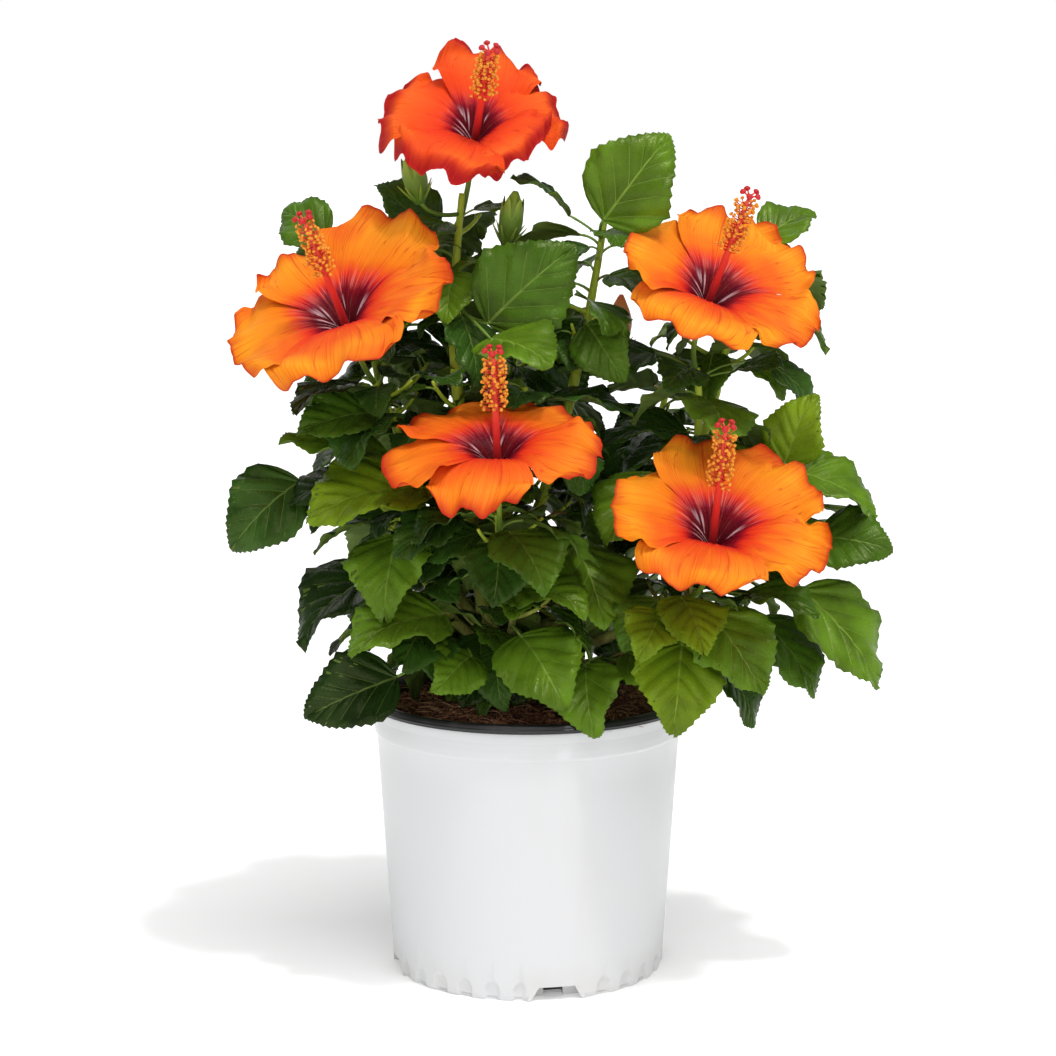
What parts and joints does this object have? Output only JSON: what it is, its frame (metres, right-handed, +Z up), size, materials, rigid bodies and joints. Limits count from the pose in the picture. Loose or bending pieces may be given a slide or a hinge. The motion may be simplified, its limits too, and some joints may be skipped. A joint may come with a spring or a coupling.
{
  "type": "potted hibiscus shrub",
  "caption": "Small hibiscus shrub with ruffled orange blooms and toothed green leaves, growing in a round tapered nursery pot with a black lip.",
  "frame": {"origin": "centre of the pot's flat underside", "axes": "+Z up from the underside to the crown, -Y towards the front of the shrub, +X to the right seen from the front"},
  "size_m": [0.4296, 0.3231, 0.6152],
  "materials": {
    "pot": "satin moulded white plastic with dust near the foot",
    "liner": "satin black moulded plastic",
    "soil": "loose moist peat and coir with fibres",
    "bark": "matt bark with lengthwise wrinkles and lenticels, greener towards the tips",
    "foliage": "glossy deep green leaves with paler veins and undersides",
    "petals": "soft orange petals with ribbed veins, a dark eye and ruffled edges",
    "buds": "soft yellow-green calyx with narrow bracts"
  },
  "bodies": {
    "root": {"pot_shell": "pot", "pot_liner": "liner", "soil": "soil", "trunk": "bark", "bough_top": "bark", "bough_shoot": "bark", "bough_back": "bark", "bough_centre": "bark", "bough_left": "bark", "bough_right": "bark", "bough_back_left": "bark", "bough_left_low": "bark", "bough_back_right": "bark", "bough_right_low": "bark", "bough_mid": "bark", "bough_left_back": "bark", "bough_right_back": "bark", "bough_right_outer": "bark", "foliage_crown": "foliage", "foliage_mid": "foliage", "foliage_left_upper": "foliage", "foliage_left_back": "foliage", "foliage_shoot": "foliage", "foliage_right_upper": "foliage", "foliage_right_back": "foliage", "foliage_centre": "foliage", "foliage_right_lower": "foliage", "foliage_right_outer": "foliage", "foliage_left_lower": "foliage", "foliage_left_base": "foliage", "foliage_front_base": "foliage", "foliage_right_base": "foliage", "foliage_back_left": "foliage", "foliage_back": "foliage", "foliage_back_right": "foliage", "foliage_back_base_left": "foliage", "foliage_back_base_right": "foliage", "bloom_top": "petals", "bloom_left": "petals", "bloom_right": "petals", "bloom_centre": "petals", "bloom_lower": "petals", "bud_crown_left": "buds", "bud_crown_right": "buds", "bud_orange": "buds"}
  },
  "joints": []
}
